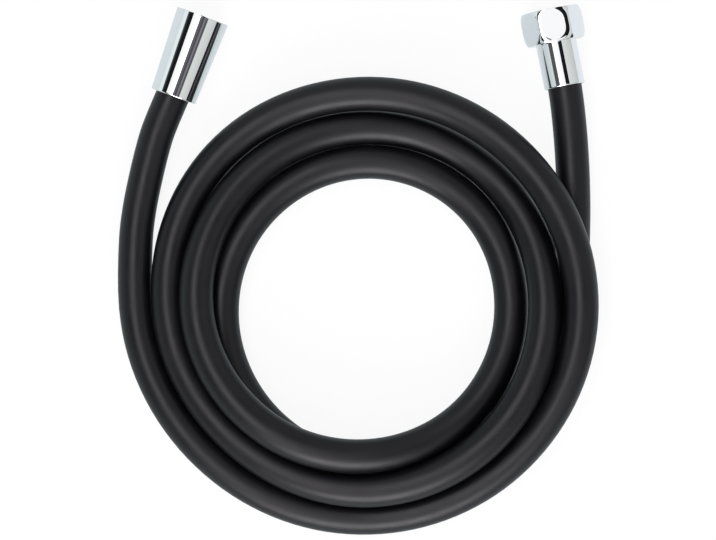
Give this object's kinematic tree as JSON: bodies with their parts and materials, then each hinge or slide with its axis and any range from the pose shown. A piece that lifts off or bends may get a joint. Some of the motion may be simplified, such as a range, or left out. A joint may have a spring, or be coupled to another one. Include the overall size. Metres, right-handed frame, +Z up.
{
  "type": "shower hose",
  "caption": "Smooth black shower hose lying in a flat coil, with a chromed hexagon nut for the wall outlet and a tapered chromed nut for the hand shower.",
  "frame": {"origin": "on the surface that the hose lies on, midway between the two end fittings", "axes": "+Z up from that surface; +X from the hand shower's fitting towards the wall fitting; +Y away from the coil"},
  "size_m": [0.2088, 0.2307, 0.0323],
  "materials": {
    "hose_vinyl": "smooth semi-matt black vinyl",
    "chrome_plate": "polished chrome plate on brass",
    "nipple_brass": "turned brass",
    "sleeve_steel": "drawn stainless steel",
    "washer_rubber": "moulded black rubber"
  },
  "bodies": {
    "hose_line": {"hose": "hose_vinyl", "wall_insert": "nipple_brass", "wall_ferrule": "sleeve_steel", "wall_washer": "washer_rubber", "hand_insert": "nipple_brass", "hand_ferrule": "sleeve_steel", "hand_washer": "washer_rubber"},
    "wall_swivel": {"wall_nut": "chrome_plate"},
    "hand_swivel": {"hand_nut": "chrome_plate"}
  },
  "joints": [
    {"name": "wall_nut_turn", "type": "hinge", "parent": "hose_line", "child": "wall_swivel", "pos_m": [0.0793, 0.0193, 0.012], "axis": [-0.1942, 0.981, 0], "continuous": true},
    {"name": "hand_nut_turn", "type": "hinge", "parent": "hose_line", "child": "hand_swivel", "pos_m": [-0.0722, 0.0167, 0.01169], "axis": [0.3475, 0.9368, 0.0415], "continuous": true}
  ]
}
